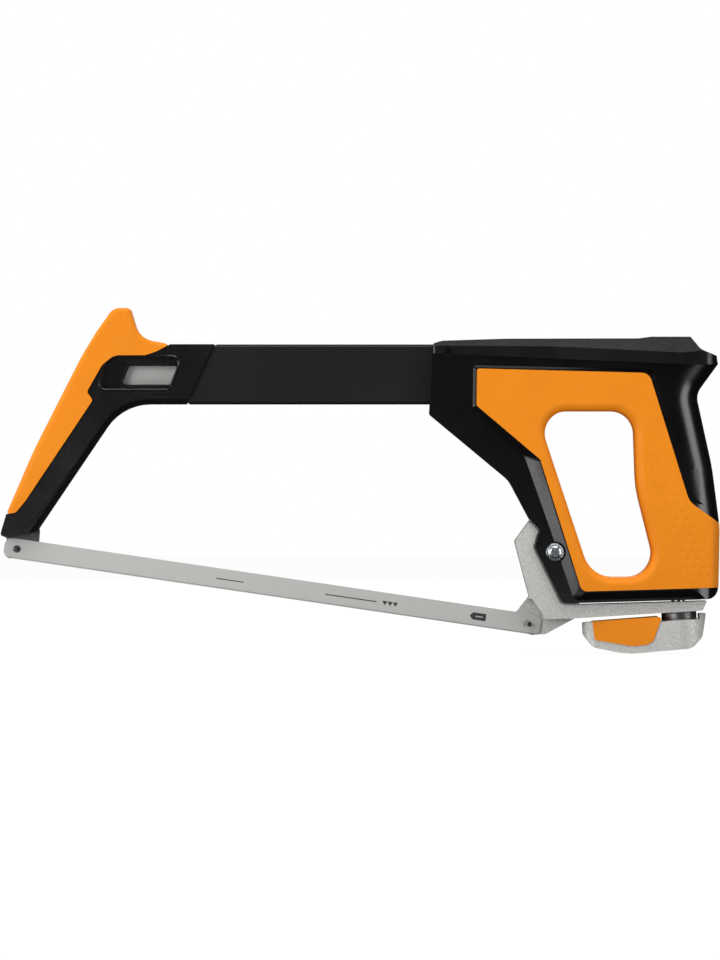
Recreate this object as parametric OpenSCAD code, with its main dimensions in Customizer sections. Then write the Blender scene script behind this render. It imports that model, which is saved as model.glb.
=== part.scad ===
// Hacksaw with a closed D handle, a rectangular top tube and a pivoting tension arm.
// X runs along the saw towards the back of the hand, Z is up, Y is across. The origin is the
// middle of the hand grip. Outlines are drawn in the XZ plane as [x, z, corner radius].

/* [Blade] */
// Distance between the two blade holes
blade_holes = 300; // [300:1:300]
// Height of the blade strip
blade_w = 12; // [11:0.5:13]
// Thickness of the blade strip
blade_t = 0.65; // [0.6:0.05:0.8]
// Blade beyond the centre of each hole
blade_end = 7.6; // [6.5:0.1:8]
// Radius of the blade holes
blade_hole_r = 2.2; // [2.1:0.05:2.4]
// Radius of the two pins that the blade hooks over
pin_r = 1.35; // [1.2:0.05:1.5]
// Fall of the blade from front to rear, degrees
blade_fall = 8.34; // [8:0.02:8.6]
// How far the stored blade can slide back in its channel
spare_travel = 8; // [4:1:8]

/* [Frame] */
// Height of the top tube
tube_h = 34.8; // [34:0.2:35]
// Width of the top tube
tube_w = 15; // [14:0.5:16]
// Wall of the top tube
tube_wall = 1.2; // [1:0.1:1.5]
// Width of the front casting
front_w = 19; // [18:0.5:20]
// Width of the soft cover on the front casting
front_grip_w = 22; // [21:0.5:23]

/* [Handle] */
// Width of the black handle shells together
shell_w = 28; // [27:0.5:29]
// Width over the two soft grip pads
pad_w = 33; // [32:0.5:34]
// Widest part of the top cap, over its rear spur
cap_w = 38; // [36:1:40]
// Soft skin inside the hand opening and round the back
pad_skin = 2.2; // [2:0.1:2.6]
// Depth of the pads on the sides
pad_depth = 5; // [4:0.5:5]

/* [Tension arm] */
// Width of the arm between the handle shells
arm_w = 19; // [18:0.5:19]
// Width of the flange under the handle
flange_w = 23; // [22:0.5:25]
// Radius of the pivot bolt
pivot_r = 4; // [3.5:0.5:4]
// Slope of the flange's underside, degrees
flange_slope = 3.55; // [3.4:0.05:3.6]

/* [Tension knob] */
// Outer radius of the tension screw
screw_r = 3.95; // [3.9:0.01:3.96]
// Radius of the knob round the screw
knob_r = 15.6; // [15:0.2:16]
// Radius of the lever's tip
knob_tip_r = 8.5; // [8:0.5:9]

/* [Hidden] */
$fn = 64;

// Largest turn of one straight step along a rounded corner, degrees
arc_step = 9;
// Running gap of a shaft in its hole, and a larger gap between parts that move past each other
fit_gap = 0.05;
swing_gap = 0.4;
// Far enough to cut right through any piece
through = 20;
seam_gap = 0.02;
eps = 0.01;

black = "#17181a";
orange = "#f08f1c";
cast_silver = "#c3c1bc";
steel = "#9a9a98";
zinc = "#cfd3d6";
bronze = "#a9783a";

tube_low = 44.2;
tube_high = tube_low + tube_h;
tube_back = -10;
tube_pin_at = [-132.5, 74.2];
tube_pin_r = 2.5;

front_hole = [-382.9, -39.8];
blade_dir = [cos(blade_fall), -sin(blade_fall)];
rear_hole = front_hole + blade_holes * blade_dir;
// The stretched blade pulls each pin against the far side of its hole
pin_offset = blade_hole_r - pin_r - 0.03;
front_pin = front_hole - pin_offset * blade_dir;
rear_pin = rear_hole + pin_offset * blade_dir;
pin_reach = 3.1;
// The pins taper to a slightly thinner free end beyond the blade
pin_tip_r = pin_r - 0.25;
pin_tip_y = -0.45;
blade_seat = blade_t / 2 + 0.1;

pivot = [-70.7, -41.5];
bushing_r = 6;
bolt_head_r = 5.4;
bolt_sink = 0.6;
// Half of the bolt head's section: a flange, a groove and a dome, each as (radius, height)
bolt_head_side = [
    [0, 0], [bolt_head_r, 0], [bolt_head_r, 0.9], [4.9, 1.7], [4.1, 1.5], [3.5, 2.9], [2.6, 3.4], [0, 3.4]
];
ear_r = 10;
screw_seat = [1.6, -76.1];
washer_r = 10.2;
washer_t = 4.1;
slot_shift = 1.6;

spare_low = 55;
spare_front = -330.5;
spare_len = blade_holes + 2 * blade_end - 3;

handle_outline = [
    [-141.5, 79, 1.5], [-143.4, 38.4, 2], [-97.2, 0, 14], [-84.6, -23.6, 0.8], [-79.4, -28.6, 3],
    [-82.4, -38.6, 2.5], [-66.4, -71.2, 3], [24.2, -68.6, 7], [25.2, -26, 60], [20.8, 8, 90],
    [11.6, 50, 10], [24.4, 67.6, 1], [23.2, 71, 1]
];
hand_opening = [
    [-81.6, 40.2, 13], [-25, 40.2, 13], [-23.4, -4, 60], [-10.4, -56, 14], [-49.8, -56, 18]
];
pad_outline = [
    [-116, 64.8, 1.5], [-116.2, 43.4, 2], [-79.4, 12.2, 4], [-55.3, -64.2, 4], [28, -61.8, 0],
    [28, -27.3, 0], [6.8, -12.2, 12], [-16.4, 62.2, 6]
];
cap_side = [
    [-141.5, 73.6, 0], [-141.5, 79.4, 2], [-136, 81, 3], [-99, 82.2, 8], [-22, 82.4, 3],
    [-15, 83.4, 3], [8, 83.4, 1], [13.6, 75.8, 8], [23, 72.2, 0.8], [23.6, 67.2, 0.8], [10, 67, 0]
];
// Half width of the shells' ribs that the pads are moulded round
core_y = pad_w / 2 - pad_depth;
cap_front_w = 28.8;
cap_shoulder = 74;
arm_outline = [
    [-84, -21.4, 1], [-93.9, -35.2, 2], [-85.6, -67, 20], [-83.4, -80.6, 11], [-56, -79.7, 0],
    [-56, -71.8, 0], [-61.2, -66, 4], [-61.2, -40, 0], [-70.7, -31.5, 0]
];
// Thick outer part of the arm, all of it outside the handle
cheek_outline = [
    [-84, -21.4, 1], [-93.9, -35.2, 2], [-85.6, -67, 20], [-83.4, -80.6, 11], [-59.5, -79.9, 0],
    [15, -75.3, 1.5], [17.4, -69.7, 1], [10, -60, 0], [-60, -60, 0], [-70, -30, 0]
];
cheek_gap = 1;
foot_outline = [
    [-84.6, -66, 1], [-92.8, -76.6, 1], [-92.4, -86.4, 3], [-84, -89.7, 2], [-76.2, -89.3, 6],
    [-58, -79.5, 2], [-62, -72, 0]
];
casting_outline = [
    [-268.2, 79, 0], [-293.6, 79, 1], [-302, 74.6, 4], [-308, 72.6, 3], [-326, 72.6, 9],
    [-333, 67, 8], [-341.8, 51.4, 2], [-338.4, 46.6, 2], [-377.4, -11.8, 8], [-383, -18.6, 3],
    [-388.6, -19.4, 0], [-392.2, -31.6, 1.5], [-388.6, -33.2, 2], [-371.4, -29.8, 2],
    [-321.4, 44.2, 30], [-284.3, 44.2, 0]
];
grip_outline = [
    [-326.6, 100, 7], [-316.8, 100, 2.5], [-311.6, 82.4, 13], [-293.6, 79, 1], [-302, 74.6, 4],
    [-308, 72.6, 3], [-326, 72.6, 9], [-333, 67, 8], [-341.8, 51.4, 2], [-338.4, 46.6, 2],
    [-377.4, -11.8, 8], [-383, -18.6, 3], [-388.6, -19.4, 1], [-372.9, 17, 220],
    [-341.4, 79, 120]
];
// Rib of the casting inside the soft cover
core_outline = [
    [-320, 95, 2], [-326, 95, 3], [-338, 77, 20], [-369.4, 15.6, 60], [-386, -21, 1],
    [-380, -24, 0], [-330, 50, 0], [-318, 66, 0], [-298, 74, 0], [-314.6, 82, 4]
];
core_w = 11;
recess_outline = [
    [-329.5, 71, 3], [-334.6, 53.4, 3], [-294.6, 53.4, 3], [-288.2, 71, 3]
];
recess_depth = 3;
window_outline = [[-317.4, 66.4, 1], [-322, 55.4, 2], [-293.8, 55.4, 2.5], [-289.6, 66.4, 1]];
spigot_end = -240;
rib_half = 1.8;
// Width of what slides into the tube
spigot_w = tube_w - 2 * tube_wall - 0.2;
knob_side = [
    [-56.6, -2.9, 1], [-56.6, -10, 5], [-51, -17.6, 4], [-37.3, -21.2, 6], [-29, -22.4, 8],
    [6, -21.4, 7], [12.4, -15.2, 5], [15.6, -1.7, 0.5], [11.6, -1.7, 0.5], [10.8, -4.9, 1],
    [-8.5, -4.9, 1], [-12.6, -2.5, 0.5]
];
knob_grip_side = [
    [-50.8, -2.4, 0], [-50.2, -13.2, 2], [-28.9, -18.1, 4], [-20.2, -17.8, 3],
    [-16.6, -16, 3], [-10.5, -2, 0]
];
grip_proud = 0.5;
grip_skin = 1.6;

shell_wall = 2.3;
bar_hollow = [
    [-20, 34, 3], [-19, -4, 3], [-8, -40, 3], [12, -40, 6], [3, -6, 6], [-8, 34, 3]
];
front_hollow = [[-112, 41, 2], [-84, 38.5, 3], [-76, 17, 3], [-82, 15, 2]];
foot_hollow = [[-40, -61.2, 1], [-40, -66.6, 1], [-10, -65.6, 1], [-10, -60.6, 1]];

screw_spots = [[-128, 36.5], [-104, 16], [-83, -8], [-2, 54], [9, 2]];
// Depth of the screw heads' seats and of their tops below the shell's face
head_seat = 4.4;
head_sink = 2;

function unit(v) = v / norm(v);
function turned(v, a) = [v.x * cos(a) - v.y * sin(a), v.x * sin(a) + v.y * cos(a)];
function flat(p) = [p[0], p[1]];
function at(pts, i) = pts[(i + len(pts)) % len(pts)];
function area(pts) = let (n = len(pts))
    [for (i = [0:n - 1]) cross(flat(pts[i]), flat(at(pts, i + 1)))] * [for (i = [0:n - 1]) 0.5];

// Arc that rounds the corner c between its neighbours p and n to radius r
function corner_arc(p, c, n, r) =
    let (a = unit(p - c),
         b = unit(n - c),
         half = acos(a * b) / 2,
         middle = c + unit(a + b) * r / sin(half),
         start = c + a * r / tan(half) - middle,
         stop = c + b * r / tan(half) - middle,
         turn = (180 - 2 * half) * sign(cross(start, stop)),
         steps = max(1, ceil(abs(turn) / arc_step)))
    [for (i = [0:steps]) middle + turned(start, turn * i / steps)];

// Outline with every corner rounded to its own radius
function rounded(pts) = [
    for (i = [0:len(pts) - 1]) each
        pts[i][2] > 0
            ? corner_arc(flat(at(pts, i - 1)), flat(pts[i]), flat(at(pts, i + 1)), pts[i][2])
            : [flat(pts[i])]
];

// Outline moved outwards by d, with its arcs kept concentric
function grown(pts, d) =
    let (side = sign(area(pts)))
    [for (i = [0:len(pts) - 1])
        let (c = flat(pts[i]),
             e1 = unit(c - flat(at(pts, i - 1))),
             e2 = unit(flat(at(pts, i + 1)) - c),
             n1 = side * [e1.y, -e1.x],
             n2 = side * [e2.y, -e2.x],
             moved = c + (n1 + n2) / (1 + n1 * n2) * d,
             bulge = sign(cross(e1, e2)) * side,
             r = pts[i][2])
        [moved.x, moved.y, r > 0 ? max(0.2, r + bulge * d) : 0]];

// Outline in XZ as a plate from y0 to y1
module plate(pts, y0, y1) {
    translate([0, y1, 0])
        rotate([90, 0, 0])
            linear_extrude(height = y1 - y0)
                polygon(rounded(pts));
}

// Rod along Y through a point in XZ
module cross_rod(at_xz, r, y0, y1) {
    translate([at_xz.x, y1, at_xz.y])
        rotate([90, 0, 0])
            cylinder(r = r, h = y1 - y0);
}

// Turns a part drawn round a vertical screw onto the tension screw, with its seat at z = 0
module on_screw() {
    translate([screw_seat.x, 0, screw_seat.y])
        rotate([0, -flange_slope, 0])
            children();
}

// Blade strip lying in XZ with its front hole at the origin
module blade_strip(length, start) {
    strip = [
        [start, blade_w / 2, 4.5], [start, -blade_w / 2, 4.5],
        [start + length, -blade_w / 2, 4.5], [start + length, blade_w / 2, 4.5]
    ];
    plate(strip, -blade_t / 2, blade_t / 2);
}

module top_tube() {
    color(black)
        difference() {
            intersection() {
                translate([-300, -tube_w / 2, tube_low])
                    cube([300 + tube_back, tube_w, tube_h]);
                plate([[-268.2, 79, 0], [-284.3, 44.2, 0], [0, 44.2, 0], [0, 79, 0]], -through, through);
            }
            translate([-310, -tube_w / 2 + tube_wall, tube_low + tube_wall])
                cube([310, tube_w - 2 * tube_wall, tube_h - 2 * tube_wall]);
            cross_rod(tube_pin_at, tube_pin_r + seam_gap, -through, through);
        }
}

// Plastic extrusion inside the tube that keeps the spare blade on edge
module blade_channel() {
    slot_w = 1.6;
    color("#3a3b3d")
        difference() {
            translate([spigot_end + 0.3, -spigot_w / 2, tube_low + tube_wall + 0.1])
                cube([tube_back - spigot_end - 0.6, spigot_w, 24]);
            translate([-300, -slot_w / 2, spare_low - 0.3])
                cube([320, slot_w, blade_w + 0.6]);
            for (side = [-1, 1])
                translate([-300, side > 0 ? rib_half : -spigot_w / 2 - 1, tube_low + 3.2])
                    cube([320, spigot_w / 2 + 1 - rib_half, 20]);
        }
}

module front_frame() {
    color(black)
        difference() {
            union() {
                difference() {
                    plate(casting_outline, -front_w / 2, front_w / 2);
                    plate(recess_outline, -front_w, -front_w / 2 + recess_depth);
                    plate(recess_outline, front_w / 2 - 1.2, front_w);
                }
                plate(core_outline, -core_w / 2, core_w / 2);
                translate([-290, -spigot_w / 2, tube_low + tube_wall + 0.1])
                    cube([290 + spigot_end, spigot_w, tube_h - 2 * tube_wall - 0.2]);
            }
            plate(window_outline, -front_w, 0);
            translate([spare_front - 0.7, -0.8, spare_low - 0.3])
                cube([200, 1.6, blade_w + 0.6]);
            for (side = [-1, 1])
                translate([-262, side > 0 ? rib_half : -spigot_w / 2 - 1, tube_low + 3.2])
                    cube([60, spigot_w / 2 + 1 - rib_half, tube_h - 6.4]);
            front_tang_blank(0.05);
        }
}

module front_grip() {
    color(orange)
        difference() {
            plate(grip_outline, -front_grip_w / 2, front_grip_w / 2);
            plate(core_outline, -core_w / 2, core_w / 2);
        }
}

// Steel insert that carries the front pin, larger all round by gap
module front_tang_blank(gap) {
    tang = [
        [-389.4, -30.6, 1], [-388.2, -44, 3], [-371, -44.6, 1.5], [-369.8, -29.4, 0],
        [-372.8, -12, 2], [-380.6, -14, 2]
    ];
    plate(grown(tang, gap), blade_seat - gap, 5.4 + gap);
}

module front_tang() {
    color(steel)
        difference() {
            front_tang_blank(0);
            cross_rod(front_pin, pin_r + seam_gap, -through, through);
        }
}

// Pin that a blade hooks over, fixed at y = back
module hook_pin(at_xz, back) {
    color(steel) {
        cross_rod(at_xz, pin_r, pin_tip_y, back);
        cross_rod(at_xz, pin_tip_r, -pin_reach, pin_tip_y + eps);
    }
}

module front_blade_pin() {
    hook_pin(front_pin, 5.2);
}

// Everything the two handle shells leave room for
module handle_hollows() {
    plate(grown(arm_outline, 1.3), -arm_w / 2 - swing_gap, arm_w / 2 + swing_gap);
    cross_rod(pivot, ear_r + 1, -arm_w / 2 - swing_gap, arm_w / 2 + swing_gap);
    translate([-160, -tube_w / 2 - 0.1, tube_low - 0.1])
        cube([160 + tube_back + spare_travel + 4, tube_w + 0.2, tube_h + 4]);
    cross_rod(tube_pin_at, tube_pin_r + seam_gap, -through, through);
    cross_rod(pivot, pivot_r + seam_gap, -through, through);
    on_screw() {
        translate([0, 0, -4])
            cylinder(r = screw_r + 0.6, h = 44);
        translate([0, 0, 0])
            cylinder(r = 8.4, h = 12.5);
        translate([-8.1, -8.1, 17.9])
            cube([16.2, 16.2, 12.2]);
    }
    plate(bar_hollow, -core_y + shell_wall, core_y - shell_wall);
    for (hollow = [front_hollow, foot_hollow])
        plate(hollow, -shell_w / 2 + 2 * shell_wall, shell_w / 2 - 2 * shell_wall);
}

// Both handle shells together
module handle_body() {
    difference() {
        plate(handle_outline, -shell_w / 2, shell_w / 2);
        difference() {
            plate(pad_outline, -shell_w, shell_w);
            plate(grown(handle_outline, -pad_skin), -core_y, core_y);
        }
        plate(grown(hand_opening, pad_skin), -shell_w, shell_w);
        handle_hollows();
        top_cap_blank();
    }
}

module half(side) {
    intersection() {
        children();
        translate([-200, side > 0 ? 0 : -60, -120])
            cube([260, 60, 240]);
    }
}

module handle_shell_left() {
    color(black)
        difference() {
            half(-1) handle_body();
            cross_rod(pivot, bolt_head_r + 0.8, -through, -shell_w / 2 + bolt_sink);
            for (spot = screw_spots)
                cross_rod(spot, 1.6 + seam_gap, -9, 1);
        }
}

module handle_shell_right() {
    color(black)
        difference() {
            half(1) handle_body();
            for (spot = screw_spots) {
                cross_rod(spot, 1.9, -1, 20);
                cross_rod(spot, 3.6, shell_w / 2 - head_seat, 30);
            }
        }
}

module grip_pads() {
    color(orange)
        difference() {
            intersection() {
                plate(pad_outline, -pad_w / 2, pad_w / 2);
                plate(handle_outline, -pad_w, pad_w);
            }
            plate(hand_opening, -pad_w, pad_w);
            difference() {
                plate(grown(handle_outline, -pad_skin), -core_y, core_y);
                plate(grown(hand_opening, pad_skin), -pad_w, pad_w);
            }
        }
}

module grip_pad_left() {
    half(-1) grip_pads();
}

module grip_pad_right() {
    half(1) grip_pads();
}

// Cap seen from the side, from above and from the front, one cut with the others
module top_cap_blank() {
    front = cap_front_w / 2;
    wide = cap_w / 2;
    intersection() {
        plate(cap_side, -wide, wide);
        translate([0, 0, 60])
            linear_extrude(height = 30)
                polygon(rounded([
                    [-142, -front, 2], [-70, -front - 0.6, 150], [4, -wide, 30], [23.6, -wide + 3, 9],
                    [23.6, wide - 3, 9], [4, wide, 30], [-70, front + 0.6, 150], [-142, front, 2]
                ]));
        translate([-150, 0, 0])
            rotate([90, 0, 90])
                linear_extrude(height = 190)
                    polygon([
                        [-wide, 60], [-wide, cap_shoulder], [-8, 84], [8, 84], [wide, cap_shoulder],
                        [wide, 60]
                    ]);
    }
}

module top_cap() {
    color(black)
        difference() {
            top_cap_blank();
            translate([-160, -tube_w / 2 - 0.1, 40])
                cube([160 + tube_back + 0.1, tube_w + 0.2, tube_high - 40 + 0.1]);
            translate([-12, -4, 40])
                cube([14, 8, tube_high - 40 - 4]);
            cross_rod(tube_pin_at, tube_pin_r + seam_gap, -through, through);
        }
}

module handle_screws() {
    color(zinc)
        for (spot = screw_spots) {
            cross_rod(spot, 1.6, -8.8, shell_w / 2 - head_seat + 0.1);
            difference() {
                cross_rod(spot, 3.2, shell_w / 2 - head_seat, shell_w / 2 - head_sink);
                translate([spot.x - 1.9, shell_w / 2 - head_sink - 0.9, spot.y - 0.4])
                    cube([3.8, 2, 0.8]);
                translate([spot.x - 0.4, shell_w / 2 - head_sink - 0.9, spot.y - 1.9])
                    cube([0.8, 2, 3.8]);
            }
        }
}

module tube_pin() {
    color(black)
        cross_rod(tube_pin_at, tube_pin_r, -cap_front_w / 2 + 0.6, cap_front_w / 2 - 0.6);
}

module pivot_bolt() {
    head_y = -shell_w / 2 + bolt_sink;
    color(zinc)
        difference() {
            union() {
                cross_rod(pivot, pivot_r, head_y - 0.1, shell_w / 2 + 4.6);
                translate([pivot.x, head_y, pivot.y])
                    rotate([90, 0, 0])
                        rotate_extrude()
                            polygon(bolt_head_side);
            }
            for (turn = [0, 90])
                translate([pivot.x, head_y - 3, pivot.y])
                    rotate([0, turn + 45, 0])
                        cube([4.4, 3.2, 1.2], center = true);
        }
}

module pivot_nut() {
    color(zinc)
        difference() {
            cross_nut_blank();
            cross_rod(pivot, pivot_r + seam_gap, 0, 30);
        }
}

module cross_nut_blank() {
    translate([pivot.x, shell_w / 2 + 4, pivot.y])
        rotate([90, 0, 0])
            cylinder(r = 7.2, h = 4, $fn = 6);
}

module tension_nut() {
    color(zinc)
        difference() {
            on_screw()
                translate([-8, -8, 18])
                    cube([16, 16, 12]);
            on_screw()
                cylinder(r = screw_r + fit_gap, h = 60);
        }
}

module tension_arm() {
    color(cast_silver)
        difference() {
            union() {
                plate(arm_outline, -arm_w / 2, arm_w / 2);
                cross_rod(pivot, ear_r, -arm_w / 2, arm_w / 2);
                difference() {
                    plate(cheek_outline, -flange_w / 2, flange_w / 2);
                    plate(grown(handle_outline, cheek_gap), -through, through);
                }
                plate(foot_outline, -5, 8);
            }
            plate([[-97, -70, 0], [-97, -92, 0], [-78.2, -92, 0], [-77, -78, 8], [-84, -68.6, 0]],
                  -20, blade_seat);
            // Slot that lets the blade's end pass deeper into the foot as the arm swings
            plate([[-97, -70, 0], [-97, -92, 0], [-75.6, -92, 0], [-75, -77, 6], [-82, -68.6, 0]],
                  -0.9, blade_seat);
            cross_rod(pivot, bushing_r + seam_gap, -through, through);
            cross_rod(rear_pin, pin_r + seam_gap, -through, through);
            on_screw()
                for (x = [0, slot_shift / 2, slot_shift])
                    translate([x, 0, -6])
                        cylinder(r = screw_r + 0.45, h = 20);
        }
}

module pivot_bushing() {
    color(bronze)
        difference() {
            cross_rod(pivot, bushing_r, -arm_w / 2, arm_w / 2);
            cross_rod(pivot, pivot_r + fit_gap, -through, through);
        }
}

module rear_blade_pin() {
    hook_pin(rear_pin, 7.8);
}

module thrust_washer() {
    color(steel)
        on_screw()
            translate([0, 0, -swing_gap - washer_t])
                difference() {
                    cylinder(r = washer_r, h = washer_t);
                    translate([0, 0, -1])
                        cylinder(r = screw_r + fit_gap, h = washer_t + 2);
                }
}

// Knob seen from the side and from above, before its soft cover
module knob_body(more) {
    intersection() {
        plate(grown(knob_side, more), -knob_r - more, knob_r + more);
        translate([0, 0, -30])
            linear_extrude(height = 40)
                hull() {
                    circle(r = knob_r + more);
                    translate([-48.2, 0])
                        circle(r = knob_tip_r + more);
                }
    }
}

module knob_grip_zone(more) {
    plate(grown(knob_grip_side, more), -30, 30);
}

module tension_knob() {
    color(cast_silver)
        on_screw()
            difference() {
                union() {
                    difference() {
                        knob_body(0);
                        translate([-14, -20, -4.9])
                            cube([25.4, 40, 6]);
                    }
                    translate([0, 0, -10])
                        cylinder(r = washer_r, h = 10 - swing_gap - washer_t - 0.1);
                    intersection() {
                        knob_body(0);
                        translate([-60, -20, -5.1])
                            cube([47.4, 40, 6]);
                    }
                }
                difference() {
                    knob_grip_zone(0);
                    knob_body(-grip_skin);
                }
                translate([0, 0, -14])
                    cylinder(r = screw_r + seam_gap, h = 20);
            }
}

module knob_grip() {
    color(orange)
        on_screw()
            difference() {
                intersection() {
                    knob_body(grip_proud);
                    knob_grip_zone(0);
                }
                knob_body(-grip_skin);
            }
}

module tension_screw() {
    color(zinc)
        on_screw()
            translate([0, 0, -13.9])
                cylinder(r = screw_r, h = 13.9 + 36);
}

module retaining_ring() {
    color(steel)
        on_screw()
            translate([0, 0, 7.4])
                difference() {
                    cylinder(r = 6.8, h = 1.2);
                    translate([0, 0, -1])
                        cylinder(r = screw_r + seam_gap, h = 4);
                }
}

module blade() {
    color(cast_silver)
        translate([front_hole.x, 0, front_hole.y])
            rotate([0, blade_fall, 0])
                difference() {
                    blade_strip(blade_holes + 2 * blade_end, -blade_end);
                    cross_rod([0, 0], blade_hole_r, -5, 5);
                    cross_rod([blade_holes, 0], blade_hole_r, -5, 5);
                }
}

module spare_blade() {
    color(cast_silver)
        translate([spare_front, 0, spare_low + blade_w / 2])
            difference() {
                blade_strip(spare_len, 0);
                cross_rod([blade_end, 0], blade_hole_r, -5, 5);
                cross_rod([spare_len - blade_end, 0], blade_hole_r, -5, 5);
            }
}

top_tube();
blade_channel();
front_frame();
front_grip();
front_tang();
front_blade_pin();
handle_shell_left();
handle_shell_right();
grip_pad_left();
grip_pad_right();
top_cap();
handle_screws();
tube_pin();
pivot_bolt();
pivot_nut();
tension_nut();
tension_arm();
pivot_bushing();
rear_blade_pin();
thrust_washer();
tension_knob();
knob_grip();
tension_screw();
retaining_ring();
blade();
spare_blade();
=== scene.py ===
"""A hacksaw with a closed D handle: the looks of its pieces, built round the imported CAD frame.

Sizes are in millimetres in the saw's own frame: X runs towards the back of the hand, Y across the
saw with the bolt head on the -Y side, Z up. Outlines are lists of (x, z, corner radius).
"""

import logging
import math
from dataclasses import dataclass, field
from enum import Enum
from typing import Any, Callable, Sequence

import bmesh
import bpy
from mathutils import Matrix, Vector


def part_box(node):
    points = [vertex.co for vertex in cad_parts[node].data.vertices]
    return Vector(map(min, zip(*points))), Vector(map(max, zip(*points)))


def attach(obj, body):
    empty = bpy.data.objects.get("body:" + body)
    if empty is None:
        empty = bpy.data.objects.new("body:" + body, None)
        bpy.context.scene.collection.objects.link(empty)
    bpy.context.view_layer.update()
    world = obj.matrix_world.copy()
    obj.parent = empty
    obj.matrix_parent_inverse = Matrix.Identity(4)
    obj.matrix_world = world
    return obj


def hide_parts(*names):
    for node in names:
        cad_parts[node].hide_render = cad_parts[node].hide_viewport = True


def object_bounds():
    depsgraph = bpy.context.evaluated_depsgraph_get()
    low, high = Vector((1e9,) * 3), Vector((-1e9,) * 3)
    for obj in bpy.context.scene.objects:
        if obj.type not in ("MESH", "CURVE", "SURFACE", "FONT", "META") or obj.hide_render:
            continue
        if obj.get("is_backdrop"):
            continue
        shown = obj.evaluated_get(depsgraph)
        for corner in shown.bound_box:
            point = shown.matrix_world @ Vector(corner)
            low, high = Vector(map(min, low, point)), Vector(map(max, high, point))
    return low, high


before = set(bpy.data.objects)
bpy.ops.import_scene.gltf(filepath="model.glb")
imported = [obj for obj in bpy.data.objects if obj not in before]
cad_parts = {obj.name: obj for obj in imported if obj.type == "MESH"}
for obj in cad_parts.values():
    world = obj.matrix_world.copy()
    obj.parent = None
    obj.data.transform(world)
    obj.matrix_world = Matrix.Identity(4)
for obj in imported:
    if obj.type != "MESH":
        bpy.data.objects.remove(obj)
CAD_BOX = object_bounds()

log = logging.getLogger("hacksaw")

MM = 0.001
# Widest step of an arc, in degrees
ARC_STEP = 9.0
# How near two places are taken to be the same, in millimetres
NEAR = 0.02
# Blade beyond the centre of each of its holes
BLADE_END = 7.6
# Depth, in millimetres, that takes a cutter right through what it cuts
THROUGH = 20.0

Corner = tuple[float, float, float]
Point = tuple[float, float]
Place = tuple[float, float, float]
Colour = tuple[float, float, float]

STORED_HOLE: Point = (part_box("spare_blade")[0][0] / MM + BLADE_END, 61.0)


class Slot(Enum):
    """The record's material slots."""

    HANDLE = "handle_black"
    TUBE = "tube_black"
    CASTING = "casting_black"
    GRIP = "grip_orange"
    SILVER = "cast_silver"
    BLADE = "blade_grey"
    ZINC = "zinc"
    DARK = "dark_steel"
    CHANNEL = "channel_grey"
    BRONZE = "bronze"


class Body(Enum):
    """The CAD bodies that pieces ride on."""

    FRAME = "frame"
    ARM = "arm"
    WASHER = "washer"
    KNOB = "knob"
    BLADE = "blade"
    SPARE = "spare_blade"


# ---------------------------------------------------------------- outlines


def rounded(corners: Sequence[Corner], steps: int = 0) -> list[Point]:
    """Rounds every corner of an outline to its own radius.

    Args:
        corners: (x, z, radius) of each corner, in order.
        steps: Steps in each arc; 0 lets the arc's angle decide.

    Returns:
        The outline's points, with an arc in place of each rounded corner.
    """
    points: list[Point] = []
    for i, (x, z, radius) in enumerate(corners):
        if radius <= 0:
            points.append((x, z))
            continue
        here = Vector((x, z))
        back = (Vector(corners[i - 1][:2]) - here).normalized()
        ahead = (Vector(corners[(i + 1) % len(corners)][:2]) - here).normalized()
        half = back.angle(ahead) / 2
        middle = here + (back + ahead).normalized() * radius / math.sin(half)
        start = here + back * radius / math.tan(half) - middle
        stop = here + ahead * radius / math.tan(half) - middle
        cross = start.x * stop.y - start.y * stop.x
        turn = math.copysign(math.pi - 2 * half, cross)
        count = steps or max(1, math.ceil(abs(math.degrees(turn)) / ARC_STEP))
        for k in range(count + 1):
            spoke = Matrix.Rotation(turn * k / count, 2) @ start
            points.append((middle.x + spoke.x, middle.y + spoke.y))
    return points


def grown(corners: Sequence[Corner], by: float) -> list[Corner]:
    """Moves an outline outwards and keeps its arcs concentric.

    Args:
        corners: The outline's corners.
        by: Distance to move it, negative to shrink it.

    Returns:
        The moved corners.
    """
    n = len(corners)
    flat = [Vector(c[:2]) for c in corners]
    area = sum(flat[i].x * flat[(i + 1) % n].y - flat[i].y * flat[(i + 1) % n].x for i in range(n))
    side = math.copysign(1, area)
    moved: list[Corner] = []
    for i in range(n):
        e1 = (flat[i] - flat[i - 1]).normalized()
        e2 = (flat[(i + 1) % n] - flat[i]).normalized()
        n1 = Vector((e1.y, -e1.x)) * side
        n2 = Vector((e2.y, -e2.x)) * side
        spot = flat[i] + (n1 + n2) / (1 + n1.dot(n2)) * by
        bulge = math.copysign(1, e1.x * e2.y - e1.y * e2.x) * side
        radius = corners[i][2]
        moved.append((spot.x, spot.y, max(0.2, radius + bulge * by) if radius > 0 else 0))
    return moved


# ---------------------------------------------------------------- modelling


def only(obj: bpy.types.Object) -> None:
    """Makes one object the selected and active one.

    Args:
        obj: The object.
    """
    bpy.ops.object.select_all(action="DESELECT")
    obj.select_set(True)
    bpy.context.view_layer.objects.active = obj


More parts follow.
